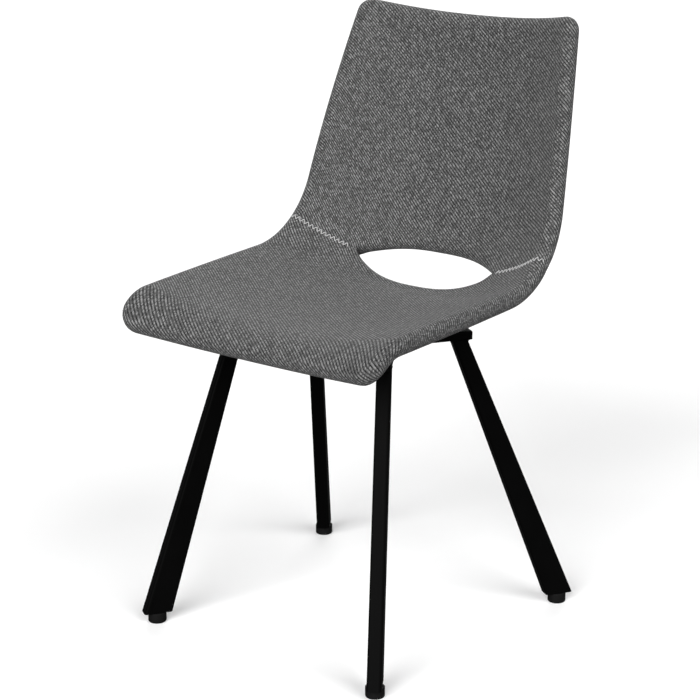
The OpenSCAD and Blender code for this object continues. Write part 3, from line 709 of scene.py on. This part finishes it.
stitching = {
    "thread": 0.00055, "taper": 0.45,   # radius, and share of it lost at a stroke's ends
    "halfReach": 0.0036,           # how far a stroke goes to either side of the seam
    "startInside": 0.003,          # where the row starts, inwards of the cut-out's tip
    "roundRim": 0.016,             # how far the row goes on over the rim
    "bow": 0.0005, "sunk": 0.0009,  # rise of a stroke's middle over the cloth, and depth of its ends
    "trackStart": 0.03, "trackPoints": 400, "strokePoints": 13, "shareStep": 0.01,
}


def makeStitches(name, side):
    # Zigzag strokes across a side seam. s is the length along the seam from the cut-out's tip. Up to the
    # rim it gives the share across, and past the rim it turns round it with the skin's thickness as radius.
    seam = np.array(shell["seamRun"])
    shares = np.linspace(holeShare - stitching["trackStart"], 1, stitching["trackPoints"])
    track = surfacePoint(side * shares, seam)
    walked = np.concatenate([[0], np.cumsum(np.linalg.norm(np.diff(track, axis=0), axis=-1))])
    walked -= np.interp(holeShare, shares, walked)
    pitch, half = padding["stitchPitch"], stitching["halfReach"]
    starts = np.arange(-stitching["startInside"], walked[-1] + stitching["roundRim"], pitch / 2)
    upward = (-1.0) ** np.arange(len(starts))
    t = np.linspace(0, 1, stitching["strokePoints"])
    s = starts[:, None] + t * pitch / 2
    d = upward[:, None] * half * (2 * t - 1)
    share = np.interp(s, walked, shares)
    run = seam + d
    normal = surfaceNormal(side * share, run)
    shoulder = coverThickness(share, run, np.full_like(run, half))
    height = shoulder + stitching["bow"] * np.sin(np.pi * t) - stitching["sunk"] * (2 * t - 1) ** 8
    beyond = np.clip(s - walked[-1], 0, None) / height
    further, nearer = side * share, side * (share - stitching["shareStep"])
    outward = unit(surfacePoint(further, run) - surfacePoint(nearer, run))
    direction = np.cos(beyond)[..., None] * normal + np.sin(beyond)[..., None] * outward
    paths = surfacePoint(side * share, run) + height[..., None] * direction
    slimness = 1 - stitching["taper"] * (2 * t - 1) ** 6
    radii = stitching["thread"] * np.broadcast_to(slimness, s.shape)
    return tubeStrokes(name, paths, radii, "chair", thread)


makePanel("seatPanel", True, True, ("seat_cover", "seat_foam"))
makePanel("backPanel", False, True, ("back_cover", "back_foam"))
makePanel("underPanel", True, False, ("under_cover", "under_foam"))
makePanel("rearPanel", False, False, ("rear_cover", "rear_foam"))
makeStitches("seamStitchesRight", 1)
makeStitches("seamStitchesLeft", -1)
print("upholstery panels and seam stitches made")


# Welds: a hollow fillet round the top of each leg, under its arm

weld = {
    "legEdge": 0.004, "reach": 0.0046, "least": 0.0006, "overlap": 0.0004, "around": 72,
    "bendPoints": 7, "topDepth": 0.0001,
}


def makeWeld(corner):
    # The leg's top outline is a rounded rectangle, measured on the leg in plan. Round it goes a quarter
    # circle, hollow outwards. It reaches out far only along the arm, and lies on the slanting leg below.
    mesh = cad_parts["leg_" + corner].data
    points = np.zeros(3 * len(mesh.vertices), np.float32)
    mesh.vertices.foreach_get("co", points)
    points = points.reshape(-1, 3)
    topZ = points[:, 2].max()
    top = points[points[:, 2] > topZ - weld["topDepth"], :2]
    centre = (top.max(0) + top.min(0)) / 2
    footLow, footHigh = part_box("glide_pad_" + corner)
    foot = np.array([footLow.x + footHigh.x, footLow.y + footHigh.y]) / 2
    ahead = unit(foot - centre)
    aside = np.array([-ahead[1], ahead[0]])
    half = np.abs((top - centre) @ np.stack([ahead, aside], 1)).max(0) - weld["legEdge"]
    turn = 2 * np.pi * (np.arange(weld["around"]) + 0.5) / weld["around"]
    outward = np.stack([np.cos(turn), np.sin(turn)], -1)
    outline = np.sign(outward) * half + weld["legEdge"] * outward
    reach = weld["least"] + (weld["reach"] - weld["least"]) * np.abs(outward[:, :1]) ** 3
    bend = np.linspace(0, np.pi / 2, weld["bendPoints"])
    profileOut = np.concatenate([[-weld["overlap"]], 1 - np.sin(bend), [-weld["overlap"]]])
    profileDown = np.concatenate([[0], 1 - np.cos(bend), [1]])
    out = np.where(profileOut > 0, reach * profileOut, profileOut)
    down = reach * profileDown
    spread = outline[:, None] + out[..., None] * outward[:, None]
    slope = (foot - centre) / topZ
    plan = centre + spread @ np.stack([ahead, aside]) + down[..., None] * slope
    ring = np.concatenate([plan, (topZ - down)[..., None]], -1)
    ids = np.arange(ring.shape[0] * ring.shape[1]).reshape(ring.shape[:2])
    quads = bandQuads(np.concatenate([ids, ids[:1]]), around=True)
    noTriangles = np.zeros((0, 3), int)
    newPiece("weld_" + corner, flat(ring), quads, noTriangles, "chair", powderCoat)


for corner in cornerNames:
    makeWeld(corner)
print("welds made")


# The stage, the light and the camera

stageLook = {
    "floorSize": 30, "floorTone": 0.97,
    "bounceTone": 0.12,            # the floor's tone in the light that it throws back on the chair
    "floorRoughness": 0.9, "floorSpecular": 0.1,
    "skyLight": 0.08,              # the sky's strength as a light, while it looks white
}
cameraPlace = {"azimuth": 37.85, "elevation": 16.44, "distance": 2.883, "aim": (0, -0.0406, 0.415),
               "lens": 103.44, "shift": (-0.0003, -0.0099)}
lights = [
    {"name": "keyLight", "azimuth": 10, "elevation": 27, "angle": 45, "power": 3.9},
    {"name": "sideLight", "azimuth": 80, "elevation": 36, "angle": 45, "power": 2.2},
    {"name": "backLight", "azimuth": 212, "elevation": 24, "angle": 45, "power": 1.3},
]


def awayFrom(place):
    # The direction from the chair to something at that azimuth and elevation. Azimuth 0 is in front.
    azimuth, elevation = math.radians(place["azimuth"]), math.radians(place["elevation"])
    level = math.cos(elevation)
    return Vector((math.sin(azimuth) * level, -math.cos(azimuth) * level, math.sin(elevation)))


def makeStage():
    half = stageLook["floorSize"] / 2
    corners = [(-half, -half, 0), (half, -half, 0), (half, half, 0), (-half, half, 0)]
    mesh = bpy.data.meshes.new("floor")
    mesh.from_pydata(corners, [], [(0, 1, 2, 3)])
    floor = bpy.data.objects.new("floor", mesh)
    scene.collection.objects.link(floor)
    material, tree, shader = newMaterial(
        "paleFloor", Roughness=stageLook["floorRoughness"], Specular_IOR_Level=stageLook["floorSpecular"])
    seen = addNode(tree, "ShaderNodeLightPath", {}).outputs["Is Camera Ray"]
    tones = mixColours(tree, seen, grey(stageLook["bounceTone"]), grey(stageLook["floorTone"]))
    plug(tree, shader, {"Base Color": tones})
    mesh.materials.append(material)
    world = bpy.data.worlds.new("studio")
    scene.world = world
    world.use_nodes = True
    sky, tree = stageLook["skyLight"], world.node_tree
    seen = addNode(tree, "ShaderNodeLightPath", {}).outputs["Is Camera Ray"]
    strength = calc(tree, "MULTIPLY_ADD", seen, 1 - sky, sky)
    plug(tree, tree.nodes["Background"], {"Color": grey(1.0), "Strength": strength})
    for light in lights:
        data = bpy.data.lights.new(light["name"], "SUN")
        data.angle, data.energy = math.radians(light["angle"]), light["power"]
        lamp = bpy.data.objects.new(light["name"], data)
        scene.collection.objects.link(lamp)
        lamp.rotation_euler = awayFrom(light).to_track_quat("Z", "Y").to_euler()


def makeCamera():
    place, back = cameraPlace, awayFrom(cameraPlace)
    data = bpy.data.cameras.new("view")
    data.lens = place["lens"]
    data.shift_x, data.shift_y = place["shift"]
    camera = bpy.data.objects.new("view", data)
    scene.collection.objects.link(camera)
    camera.location = Vector(place["aim"]) + back * place["distance"]
    camera.rotation_euler = (-back).to_track_quat("-Z", "Y").to_euler()
    scene.camera = camera


makeStage()
makeCamera()
print("stage, lights and camera made")
